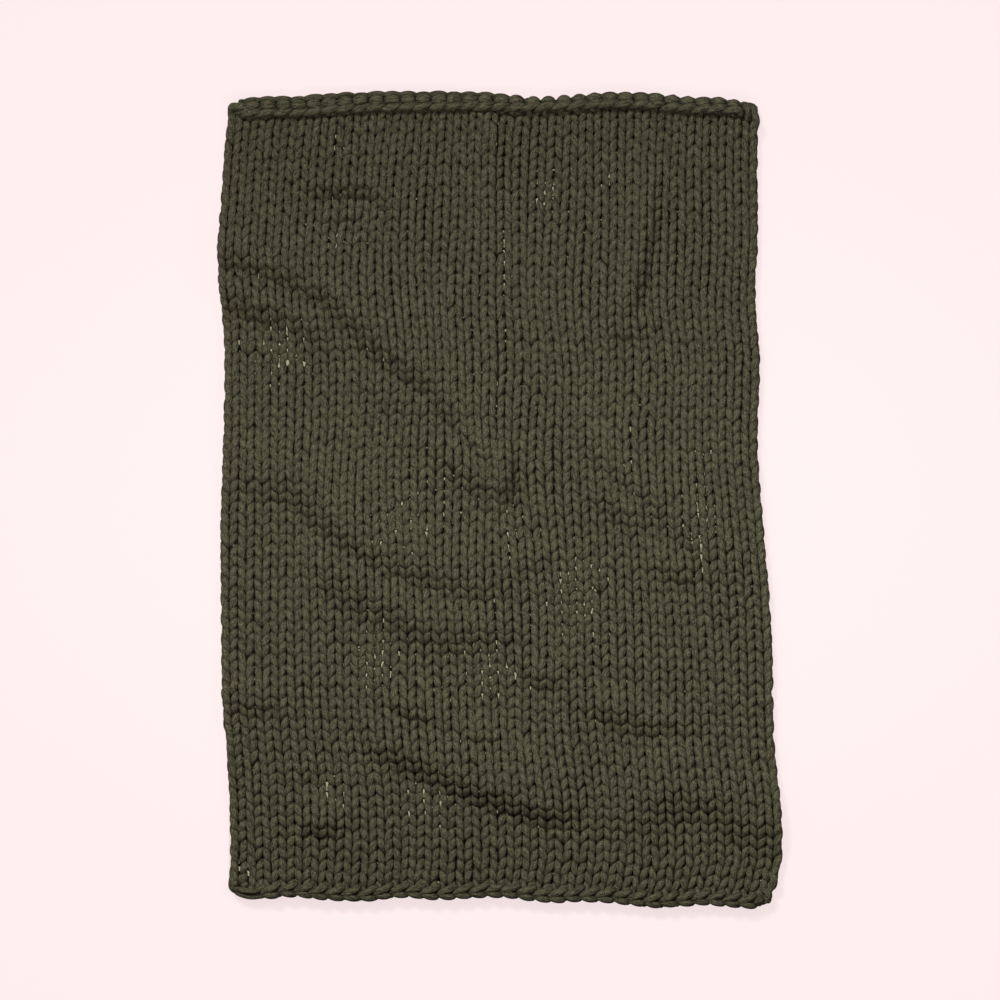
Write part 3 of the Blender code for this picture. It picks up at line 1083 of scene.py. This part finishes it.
    def edge(self, end: End, wale: np.ndarray, inset: np.ndarray, height: np.ndarray) -> np.ndarray:
        """Return the world points of places on one of the two end edges.

        Args:
            end: Which end of the blanket.
            wale: Stitches counted from the left edge.
            inset: Distance in from the outline.
            height: Height over the surface.

        Returns:
            The points, one a row.
        """
        u = wale / self.gauge.wales
        guess = ROW_SIDES[0] * (1 - u) + ROW_SIDES[1] * u
        if end is End.CAST_ON:
            y = through(TOP_EDGE, guess) - inset
        else:
            y = through(BOTTOM_EDGE, guess) + inset
        return self.lay(self.across(y, u), y, height)


@dataclass
class Yarn:
    """A length of yarn: the middle line it follows and its radius along it."""

    name: str
    points: np.ndarray
    radii: np.ndarray
    # How far each point lies in front of the sheet; the material paints shade in the gaps from it
    fronts: np.ndarray
    sides: int = 8
    strip: int = 340
    seam_share: float = 0.04
    tip: float = 0.2

    def __post_init__(self) -> None:
        """Round the yarn's two ends."""
        run = np.concatenate(((0.0,), np.cumsum(np.linalg.norm(np.diff(self.points, axis=0), axis=-1))))
        for gone in (run, run[-1] - run):
            share = np.clip(gone / self.radii, 0.0, 1.0)
            self.radii = self.radii * np.sqrt(np.clip(1 - (1 - share) ** 2, self.tip**2, 1.0))

    def _rings(self) -> tuple[np.ndarray, np.ndarray]:
        """Place the rings of the tube, turning with the yarn but not about it.

        Returns:
            The points of every ring, and how far each lies in front of the sheet, which the material turns
            into painted shade in the gaps.
        """
        points = self.points
        tangents = np.gradient(points, axis=0)
        tangents /= np.linalg.norm(tangents, axis=-1, keepdims=True)
        turns = [Vector(row) for row in tangents]
        normal = turns[0].orthogonal().normalized()
        normals = [normal]
        for before, after in zip(turns, turns[1:]):
            normal = before.rotation_difference(after) @ normal
            normal = (normal - normal.dot(after) * after).normalized()
            normals.append(normal)
        first = np.array(normals)
        second = np.cross(tangents, first)
        angle = np.arange(self.sides + 1) % self.sides * (2 * math.pi / self.sides)
        ring = np.cos(angle)[None, :, None] * first[:, None]
        ring = ring + np.sin(angle)[None, :, None] * second[:, None]
        rings = points[:, None] + self.radii[:, None, None] * ring
        rings[..., 2] = np.maximum(rings[..., 2], CLEARANCE)
        return rings, self.fronts[:, None] + self.radii[:, None] * ring[..., 2]

    def _bake_map(self, data: bpy.types.Mesh, uv: np.ndarray, segments: int) -> None:
        """Lay the tube out in even strips, for baking.

        Args:
            data: The tube's mesh, all four-sided faces.
            uv: The unit map of the grid that it was rolled from, one face's four corners a row.
            segments: Rings of faces along the tube.
        """
        rows = math.ceil(segments / self.strip)
        ring = np.rint(uv[..., 0] * segments)
        strip = np.floor(ring.min(axis=1) / self.strip)[:, None]
        along = (ring - strip * self.strip) / self.strip
        around = (strip + self.seam_share + (1 - 2 * self.seam_share) * uv[..., 1]) / rows
        layer = data.uv_layers.new(name="OFBake")
        layer.data.foreach_set("uv", np.stack((along, around), axis=-1).ravel())

    def build(self) -> bpy.types.Object:
        """Roll a grid into the tube, and close its seam and ends.

        Returns:
            The tube's object.
        """
        segments = len(self.points) - 1
        mesh = bmesh.new()
        mesh.loops.layers.uv.new("yarn")
        bmesh.ops.create_grid(mesh, x_segments=segments, y_segments=self.sides, size=0.5, calc_uvs=True)
        data = bpy.data.meshes.new(self.name)
        mesh.to_mesh(data)
        mesh.free()
        flat = np.empty(len(data.vertices) * 3, dtype=np.float32)
        data.vertices.foreach_get("co", flat)
        flat = flat.reshape(-1, 3) + 0.5
        column = np.rint(flat[:, 0] * segments).astype(int)
        row = np.rint(flat[:, 1] * self.sides).astype(int)
        rings, fronts = self._rings()
        data.vertices.foreach_set("co", rings[column, row].ravel())
        # The front attribute carries where the material paints shade between the yarns
        front = data.attributes.new("front", "FLOAT", "POINT")
        front.data.foreach_set("value", fronts[column, row].astype(np.float32))
        uv = np.empty(len(data.loops) * 2, dtype=np.float32)
        data.uv_layers["yarn"].data.foreach_get("uv", uv)
        uv = uv.reshape(-1, 4, 2)
        self._bake_map(data, uv, segments)
        length = np.linalg.norm(np.diff(self.points, axis=0), axis=-1).sum()
        scaled = uv * np.array((length, 1.0), dtype=np.float32)
        data.uv_layers["yarn"].data.foreach_set("uv", scaled.ravel())
        mesh = bmesh.new()
        mesh.from_mesh(data)
        bmesh.ops.remove_doubles(mesh, verts=mesh.verts[:], dist=WELD)
        bmesh.ops.holes_fill(mesh, edges=[e for e in mesh.edges if e.is_boundary], sides=0)
        bmesh.ops.recalc_face_normals(mesh, faces=mesh.faces[:])
        mesh.to_mesh(data)
        mesh.free()
        data.shade_smooth()
        piece = bpy.data.objects.new(self.name, data)
        bpy.context.scene.collection.objects.link(piece)
        return piece


@dataclass
class KnitBody:
    """The stockinette body: bands of courses, each band one unbroken yarn that turns at the sides."""

    drape: Drape
    courses_in_band: int = 15
    uneven_radius: float = 0.028
    uneven_across: float = 0.018
    uneven_along: float = 0.07
    uneven_slant: float = 0.18
    selvedge: float = 0.18
    turn_share: float = 0.66
    first_reach: float = -0.56
    first_lap: float = 0.06
    last_reach: float = 0.50
    tuck: float = 0.006
    tuck_start: float = -0.05
    tuck_length: float = 0.4
    thinning: float = 0.86
    give: float = 2.2
    behind_from: float = 0.009
    behind_over: float = 0.010
    turn_points: int = 5
    turn_reach: float = 0.03
    turn_rise: float = 0.010
    seed: int = 1000

    def _course(self, course: int, random: np.random.RandomState) -> np.ndarray:
        """Return one course's wales, courses, depths and radii, from left to right.

        Args:
            course: Its number from the bottom.
            random: The source of its unevenness.

        Returns:
            Those and how readily the back of the stitch gives way, five columns, one row a point.
        """
        gauge = self.drape.gauge
        half = np.array([(k.across, k.along, k.depth, k.radius, 1.0) for k in HALF_STITCH])
        mirrored = half[::-1][1:-1] * (-1, 1, 1, 1, 1)
        stitch = np.vstack((half, mirrored))
        legs = 2 * gauge.wales
        swell = random.normal(0, self.uneven_radius, legs)
        across = random.normal(0, self.uneven_across, legs)
        along = random.normal(0, self.uneven_along, legs)
        slant = random.normal(0, self.uneven_slant, legs)
        give = np.clip(self.give * random.random_sample(gauge.wales), 0.0, 1.0)
        rows = []
        for wale in range(gauge.wales):
            knots = stitch.copy()
            knots[:, 0] += wale + 0.5
            knots[:, 4] = give[wale]
            for leg, body in enumerate(LEGS, 2 * wale):
                knots[body, 0] += across[leg] + slant[leg] * (knots[body, 0] - knots[body, 0].mean())
                knots[body, 1] += along[leg]
                knots[body, 3] *= 1 + swell[leg]
            rows.append(knots)
        last = half[:1].copy()
        last[0, 0] = gauge.wales
        knots = np.vstack(rows + [last])
        knots[0, 0] += self.selvedge
        knots[-1, 0] -= self.selvedge
        knots[(0, -1), 3] *= self.turn_share
        samples = np.array(HALF_SAMPLES)
        top = len(half) - 1
        samples = np.concatenate((samples, samples[:1] + top, 2 * top - samples[:0:-1]))
        at = (samples + np.arange(gauge.wales)[:, None] * len(stitch)).ravel()
        at = np.append(at, len(knots) - 1)
        if course <= 0:
            knots[:, 1] = np.maximum(knots[:, 1], self.first_reach - (1 - self.first_lap) * course)
        if course == gauge.courses:
            knots[:, 1] = np.minimum(knots[:, 1], self.last_reach)
        course_rows = smooth(knots, at)
        course_rows[:, 1] += course
        past = course_rows[:, 1] - gauge.courses - self.tuck_start
        course_rows[:, 2] -= self.tuck * np.clip(past / self.tuck_length, 0.0, 1.0)
        return course_rows

    def _turn(self, before: np.ndarray, after: np.ndarray, outward: float) -> np.ndarray:
        """Turn the yarn at the side, from the end of one course to the start of the next.

        Args:
            before: The last point of the one course.
            after: The first point of the next.
            outward: How far the turn bulges across, in stitch widths.

        Returns:
            The points between them, in the columns of a course.
        """
        t = np.linspace(0, 1, self.turn_points + 2)[1:-1]
        rows = before + (after - before) * t[:, None]
        bulge = np.sin(math.pi * t)
        rows[:, 0] += outward * bulge
        rows[:, 2] += self.turn_rise * bulge
        return rows

    def _band(self, first: int, last: int) -> Yarn:
        """Join courses into one yarn.

        Args:
            first: The first course.
            last: The course after the last one.

        Returns:
            The yarn of those courses.
        """
        parts: list[np.ndarray] = []
        for course in range(first, last):
            rows = self._course(course, np.random.RandomState(self.seed + course))
            if course % 2:
                rows = rows[::-1]
            if parts:
                outward = self.turn_reach if course % 2 else -self.turn_reach
                parts.append(self._turn(parts[-1][-1], rows[0], outward))
            parts.append(rows)
        wale, height, depth, radius, give = np.concatenate(parts).T
        points = self.drape.place(wale, height, depth)
        behind = np.clip((self.behind_from - depth) / self.behind_over, 0.0, 1.0)
        radius = radius * (1 - self.thinning * behind * give * self.drape.looseness(points))
        return Yarn(f"knit_band_{first + 1:02d}", points, radius, depth, self.drape.gauge.sides)

    def build(self) -> list[bpy.types.Object]:
        """Build every band.

        Returns:
            The bands' objects.
        """
        made = []
        count = self.drape.gauge.courses + 1
        for first in range(-1, count, self.courses_in_band):
            made.append(self._band(first, min(first + self.courses_in_band, count)).build())
        return made


@dataclass
class EdgeRow:
    """One yarn that runs along an end of the blanket, the same in every stitch but for unevenness."""

    name: str
    drape: Drape
    end: End
    knots: tuple[EdgeKnot, ...]
    steps: int = 16
    seed: int = 1
    uneven: float = 0.03
    start: float = 0.3
    stop: float = 0.3
    roll: tuple = ()
    roll_inset: float = 0.025
    roll_height: float = 0.022
    # The row's front and its drop share set its painted shade: the lower a point lies below the row's
    # highest point, the darker it is painted
    front: float = 0.0075
    painted_shade_by_drop: float = 0.42
    stray: float = 0.02

    def _rolled(self, wale: np.ndarray, inset: np.ndarray, height: np.ndarray) -> tuple:
        """Turn places about the edge's own middle line by its roll.

        Args:
            wale: Stitches counted from the left edge.
            inset: Distances in from the outline.
            height: Heights over the surface.

        Returns:
            The turned insets and heights.
        """
        at = (wale / self.drape.gauge.wales - 0.5) * NOMINAL_WIDTH
        angle = np.radians(through(self.roll, at))
        inward, upward = inset - self.roll_inset, height - self.roll_height
        return (
            self.roll_inset + inward * np.cos(angle) - upward * np.sin(angle),
            self.roll_height + inward * np.sin(angle) + upward * np.cos(angle),
        )

    def build(self) -> bpy.types.Object:
        """Build the row.

        Returns:
            Its object.
        """
        gauge = self.drape.gauge
        random = np.random.RandomState(self.seed)
        stitch = np.array([(k.across, k.inset, k.height, k.radius) for k in self.knots])
        rows = []
        for wale in range(gauge.wales):
            knots = stitch.copy()
            knots[:, 0] += wale + 0.5 + random.normal(0, self.uneven)
            knots[:, 1] += random.normal(0, self.stray * self.uneven)
            knots[:, 2] += random.normal(0, self.stray * self.uneven)
            knots[:, 3] *= 1 + random.normal(0, self.uneven)
            rows.append(knots)
        knots = np.vstack(rows)
        run = gauge.wales - self.start - self.stop
        ends = self.start * len(stitch), (gauge.wales - self.stop) * len(stitch)
        at = np.linspace(*ends, round(run * self.steps) + 1)
        wale, inset, height, radius = smooth(knots, at).T
        # Painted shade: lower points of the row get a smaller front, which the material darkens
        fronts = self.front - self.painted_shade_by_drop * (height.max() - height)
        if self.roll:
            inset, height = self._rolled(wale, inset, height)
        points = self.drape.edge(self.end, wale, inset, height)
        return Yarn(self.name, points, radius, fronts, gauge.sides).build()


def end_rows(drape: Drape) -> list[EdgeRow]:
    """List the rows of the curled cast-on edge and of the bind-off chain.

    Args:
        drape: The sheet that they lie on.

    Returns:
        The rows, in the order in which they are built.
    """
    cast_on = (
        ("cast_on_rim", CAST_ON_RIM, 0.45, 0.55),
        ("cast_on_beads", CAST_ON_BEADS, 0.45, 0.55),
        ("cast_on_bumps", CAST_ON_BUMPS, 0.9, 0.9),
        ("cast_on_strands", CAST_ON_STRANDS, 0.9, 0.8),
    )
    bases = (
        ("cast_on_base", End.CAST_ON, CAST_ON_BASE),
        ("cast_on_under", End.CAST_ON, CAST_ON_UNDER),
        ("bind_off_base", End.BIND_OFF, BIND_OFF_BASE),
    )
    rows = []
    for seed, (name, knots, start, stop) in enumerate(cast_on, 20):
        curl = {"start": start, "stop": stop, "roll": CAST_ON_ROLL}
        rows.append(EdgeRow(name, drape, End.CAST_ON, knots, steps=20, seed=seed, **curl))
    for name, end, knots in bases:
        rows.append(EdgeRow(name, drape, end, knots, steps=6, seed=30, start=0.42, stop=0.42))
    links = {"steps": 30, "seed": 24, "start": 2.0, "stop": 0.85}
    rows.append(EdgeRow("bind_off_chain", drape, End.BIND_OFF, BIND_OFF_LINKS, **links))
    return rows


def corner_strands(drape: Drape, steps: int = 12, more_sides: int = 4) -> list[Yarn]:
    """Lay the strands that close the corners.

    Args:
        drape: The sheet that they lie on.
        steps: Points along a strand for each of its knots.
        more_sides: Sides that a strand has beyond those of the other yarn.

    Returns:
        The strands.
    """
    strands = []
    for strand in CORNER_STRANDS:
        knots = np.array([(p.x, p.y, p.height, p.radius) for p in strand.points])
        x, y, height, radius = smooth(knots, np.linspace(0, len(knots) - 1, steps * len(knots))).T
        points = np.stack((x, y, height), axis=-1) + np.array(drape.shift)
        # The corner strands take the rows' front, for the same painted shade at their sides
        fronts = np.full_like(radius, EdgeRow.front)
        strands.append(Yarn(strand.name, points, radius, fronts, drape.gauge.sides + more_sides))
    return strands


@dataclass(frozen=True)
class YarnFinish:
    """The matt stuffed jersey yarn: fine lengthwise creases, a fine knit grain, and painted shade in the
    creases and in the gaps between the yarns.
    """

    colour: tuple[float, float, float] = (0.103, 0.095, 0.0553)
    deep_colour: tuple[float, float, float] = (0.093, 0.0855, 0.0498)
    roughness: float = 0.88
    specular: float = 0.1
    cloud_scale: float = 45.0
    cloud_detail: float = 4.0
    cloud_range: tuple[float, float] = (0.32, 0.68)
    crease_along: float = 75.0
    creases_around: float = 15.0
    crease_detail: float = 3.0
    crease_bend: float = 0.6
    crease_range: tuple[float, float] = (0.39, 0.50)
    crease_depth: float = 0.0052
    # Painted shade in the crease valleys: the colour dims towards crease_shade where the bump dips
    crease_shade: float = 0.42
    grain_scale: float = 430.0
    grain_detail: float = 2.0
    grain_range: tuple[float, float] = (0.34, 0.66)
    grain_shade: float = 0.38
    # Painted shade in the gaps: where the yarn lies less than gap_top in front of the sheet, the colour
    # dims towards gap_shade
    gap_depth: float = 0.003
    gap_top: float = 0.0172
    gap_shade: float = 0.52

    def _noise(
        self,
        tree: bpy.types.NodeTree,
        where: bpy.types.NodeSocket,
        scale: float,
        detail: float,
        bend: float = 0.0,
    ) -> bpy.types.NodeSocket:
        """Return a noise.

        Args:
            tree: The material's nodes.
            where: The coordinates that it is read at.
            scale: Its scale.
            detail: Its detail.
            bend: Its distortion.

        Returns:
            The noise's value.
        """
        noise = tree.nodes.new("ShaderNodeTexNoise")
        noise.inputs["Scale"].default_value = scale
        noise.inputs["Detail"].default_value = detail
        noise.inputs["Distortion"].default_value = bend
        tree.links.new(where, noise.inputs["Vector"])
        return noise.outputs["Fac"]

    def _ramp(
        self,
        tree: bpy.types.NodeTree,
        value: bpy.types.NodeSocket,
        span: tuple[float, float],
        start: float = 0.0,
    ) -> bpy.types.NodeSocket:
        """Return a value read along a smooth ramp.

        Args:
            tree: The material's nodes.
            value: The value to read.
            span: The values between which the ramp rises.
            start: What it gives at the low one.

        Returns:
            The ramp's value, one at the high end.
        """
        ramp = tree.nodes.new("ShaderNodeMapRange")
        ramp.interpolation_type = "SMOOTHSTEP"
        ramp.inputs["From Min"].default_value, ramp.inputs["From Max"].default_value = span
        ramp.inputs["To Min"].default_value = start
        tree.links.new(value, ramp.inputs["Value"])
        return ramp.outputs["Result"]

    def _dimmed(
        self, tree: bpy.types.NodeTree, colour: bpy.types.NodeSocket, shade: bpy.types.NodeSocket
    ) -> bpy.types.NodeSocket:
        """Dim a colour.

        Args:
            tree: The material's nodes.
            colour: The colour.
            shade: What it is multiplied by.

        Returns:
            The dimmed colour.
        """
        mix = tree.nodes.new("ShaderNodeMix")
        mix.data_type = "RGBA"
        mix.blend_type = "MULTIPLY"
        mix.inputs["Factor"].default_value = 1.0
        tree.links.new(colour, mix.inputs["A"])
        tree.links.new(shade, mix.inputs["B"])
        return mix.outputs["Result"]

    def material(self) -> bpy.types.Material:
        """Build the yarn's material.

        Returns:
            The material.
        """
        material = bpy.data.materials.new("olive_yarn")
        material.use_nodes = True
        tree = material.node_tree
        nodes, links = tree.nodes, tree.links
        shader = nodes["Principled BSDF"]
        shader.inputs["Roughness"].default_value = self.roughness
        shader.inputs["Specular IOR Level"].default_value = self.specular
        place = nodes.new("ShaderNodeTexCoord").outputs["Object"]
        cloud = self._noise(tree, place, self.cloud_scale, self.cloud_detail)
        mix = nodes.new("ShaderNodeMix")
        mix.data_type = "RGBA"
        mix.inputs["A"].default_value = (*self.deep_colour, 1.0)
        mix.inputs["B"].default_value = (*self.colour, 1.0)
        links.new(self._ramp(tree, cloud, self.cloud_range), mix.inputs["Factor"])
        along = nodes.new("ShaderNodeUVMap")
        along.uv_map = "yarn"
        stretch = nodes.new("ShaderNodeMapping")
        stretch.inputs["Scale"].default_value = (self.crease_along, self.creases_around, 1.0)
        links.new(along.outputs["UV"], stretch.inputs["Vector"])
        crease = self._noise(tree, stretch.outputs["Vector"], 1.0, self.crease_detail, self.crease_bend)
        grain = self._noise(tree, place, self.grain_scale, self.grain_detail)
        front = nodes.new("ShaderNodeAttribute")
        front.attribute_name = "front"
        # Painted shade in the crease valleys and in the gaps (from the front attribute) dims the colour;
        # the grain is the yarn's own mottle
        shades = (
            self._ramp(tree, crease, self.crease_range, self.crease_shade),
            self._ramp(tree, grain, self.grain_range, self.grain_shade),
            self._ramp(tree, front.outputs["Fac"], (self.gap_depth, self.gap_top), self.gap_shade),
        )
        colour = mix.outputs["Result"]
        for shade in shades:
            colour = self._dimmed(tree, colour, shade)
        links.new(colour, shader.inputs["Base Color"])
        relief = nodes.new("ShaderNodeBump")
        relief.inputs["Distance"].default_value = self.crease_depth
        links.new(crease, relief.inputs["Height"])
        links.new(relief.outputs["Normal"], shader.inputs["Normal"])
        return material


@dataclass(frozen=True)
class Studio:
    """The pale glowing floor with a painted shadow under the blanket, the soft light and the camera
    straight above.
    """

    pixel: float = 0.00227
    frame_pixels: int = 1000
    camera_height: float = 14.0
    sensor: float = 36.0
    farthest: float = 100.0
    floor_colour: tuple[float, float, float] = (1.03, 0.878, 0.878)
    # Painted shadow: under the blanket the floor glows dimmer and pale yellow, and shows so through the
    # holes
    painted_shadow_colour: tuple[float, float, float] = (0.44, 0.43, 0.27)
    painted_shadow_half_size: tuple[float, float] = (0.60, 0.89)
    painted_shadow_centre: tuple[float, float] = (-0.02, -0.004)
    painted_shadow_blur: float = 0.02
    floor_reach: float = 15.0
    floor_roughness: float = 0.95
    floor_glow: float = 0.828
    floor_shade: float = 0.12
    softbox_power: float = 33.9
    softbox_size: tuple[float, float] = (3.0, 0.7)
    softbox_place: tuple[float, float, float] = (0.05, 0.0, 1.6)
    window_power: float = 3.33
    window_angle: float = 12.0
    window_way: tuple[float, float, float] = (0.42, -0.78, -1.0)
    fill_power: float = 0.05

    def _under(self, nodes: bpy.types.Nodes, links: bpy.types.NodeLinks) -> bpy.types.NodeSocket:
        """Mask the painted shadow: tell the floor under the blanket from the rest.

        Args:
            nodes: The floor material's nodes.
            links: Their links.

        Returns:
            How far a place on the floor lies under the blanket, from none to one.
        """
        place = nodes.new("ShaderNodeTexCoord")
        apart = nodes.new("ShaderNodeSeparateXYZ")
        links.new(place.outputs["Object"], apart.inputs["Vector"])
        shares = []
        for axis, centre, half in zip("XY", self.painted_shadow_centre, self.painted_shadow_half_size):
            away = nodes.new("ShaderNodeMath")
            away.operation = "SUBTRACT"
            away.inputs[1].default_value = centre
            links.new(apart.outputs[axis], away.inputs[0])
            size = nodes.new("ShaderNodeMath")
            size.operation = "ABSOLUTE"
            links.new(away.outputs["Value"], size.inputs[0])
            share = nodes.new("ShaderNodeMapRange")
            share.interpolation_type = "SMOOTHSTEP"
            share.inputs["From Min"].default_value = half
            share.inputs["From Max"].default_value = half - self.painted_shadow_blur
            links.new(size.outputs["Value"], share.inputs["Value"])
            shares.append(share.outputs["Result"])
        both = nodes.new("ShaderNodeMath")
        both.operation = "MULTIPLY"
        links.new(shares[0], both.inputs[0])
        links.new(shares[1], both.inputs[1])
        return both.outputs["Value"]

    def floor(self) -> bpy.types.Object:
        """Build the floor, which glows evenly, with a painted shadow where the blanket covers it: there it
        glows a dimmer pale yellow.

        Returns:
            The floor's object.
        """
        mesh = bmesh.new()
        bmesh.ops.create_grid(mesh, x_segments=1, y_segments=1, size=self.floor_reach)
        data = bpy.data.meshes.new("floor")
        mesh.to_mesh(data)
        mesh.free()
        material = bpy.data.materials.new("pale_floor")
        material.use_nodes = True
        nodes, links = material.node_tree.nodes, material.node_tree.links
        shader = nodes["Principled BSDF"]
        shaded = [self.floor_shade * channel for channel in self.floor_colour]
        shader.inputs["Base Color"].default_value = (*shaded, 1.0)
        shader.inputs["Roughness"].default_value = self.floor_roughness
        shader.inputs["Specular IOR Level"].default_value = 0.0
        # Painted shadow: the glow turns to the dimmer pale yellow under the blanket
        glow = nodes.new("ShaderNodeMix")
        glow.data_type = "RGBA"
        glow.inputs["A"].default_value = (*self.floor_colour, 1.0)
        glow.inputs["B"].default_value = (*self.painted_shadow_colour, 1.0)
        links.new(self._under(nodes, links), glow.inputs["Factor"])
        links.new(glow.outputs["Result"], shader.inputs["Emission Color"])
        shader.inputs["Emission Strength"].default_value = self.floor_glow
        data.materials.append(material)
        floor = bpy.data.objects.new("floor", data)
        bpy.context.scene.collection.objects.link(floor)
        return floor

    def camera(self) -> None:
        """Put a long lens straight above the blanket, at the photograph's scale."""
        lens = bpy.data.cameras.new("camera")
        lens.sensor_width = self.sensor
        lens.lens = self.sensor * self.camera_height / (self.pixel * self.frame_pixels)
        lens.clip_end = self.farthest
        camera = bpy.data.objects.new("camera", lens)
        camera.location = (0.0, 0.0, self.camera_height)
        bpy.context.scene.collection.objects.link(camera)
        bpy.context.scene.camera = camera
        bpy.context.scene.view_settings.view_transform = "Standard"

    def window(self) -> None:
        """Let soft light fall in from the upper left, which brings out the folds."""
        sun = bpy.data.lights.new("window", "SUN")
        sun.energy = self.window_power
        sun.angle = math.radians(self.window_angle)
        lamp = bpy.data.objects.new("window", sun)
        lamp.rotation_euler = Vector(self.window_way).to_track_quat("-Z", "Y").to_euler()
        bpy.context.scene.collection.objects.link(lamp)

    def overhead(self) -> None:
        """Hang a long softbox across the blanket's middle, so that its two ends are a little darker."""
        softbox = bpy.data.lights.new("softbox", "AREA")
        softbox.shape = "RECTANGLE"
        softbox.size, softbox.size_y = self.softbox_size
        softbox.energy = self.softbox_power
        lamp = bpy.data.objects.new("softbox", softbox)
        lamp.location = self.softbox_place
        bpy.context.scene.collection.objects.link(lamp)

    def fill(self) -> None:
        """Fill the shadows evenly with a little white light."""
        world = bpy.data.worlds.new("studio")
        world.use_nodes = True
        background = world.node_tree.nodes["Background"]
        background.inputs["Color"].default_value = (1.0, 1.0, 1.0, 1.0)
        background.inputs["Strength"].default_value = self.fill_power
        bpy.context.scene.world = world

    def build(self) -> None:
        """Build the whole studio."""
        self.floor()
        self.camera()
        self.overhead()
        self.window()
        self.fill()


def ride(piece: bpy.types.Object, material: bpy.types.Material) -> None:
    """Dress a piece and fix it to the model's body in place of the plain solid.

    Args:
        piece: The piece of yarn.
        material: Its finish.
    """
    piece.data.materials.append(material)
    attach(piece, BODY)
    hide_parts(NODE)
    LOG.info("%s: %d faces", piece.name, len(piece.data.polygons))


def main() -> None:
    """Build the blanket and its studio, in order."""
    logging.basicConfig(level=logging.INFO, format="%(name)s %(message)s")
    material = YarnFinish().material()
    drape = Drape(Gauge())
    for piece in KnitBody(drape).build():
        ride(piece, material)
    for part in end_rows(drape) + corner_strands(drape):
        ride(part.build(), material)
    Studio().build()


if __name__ == "__main__":
    main()
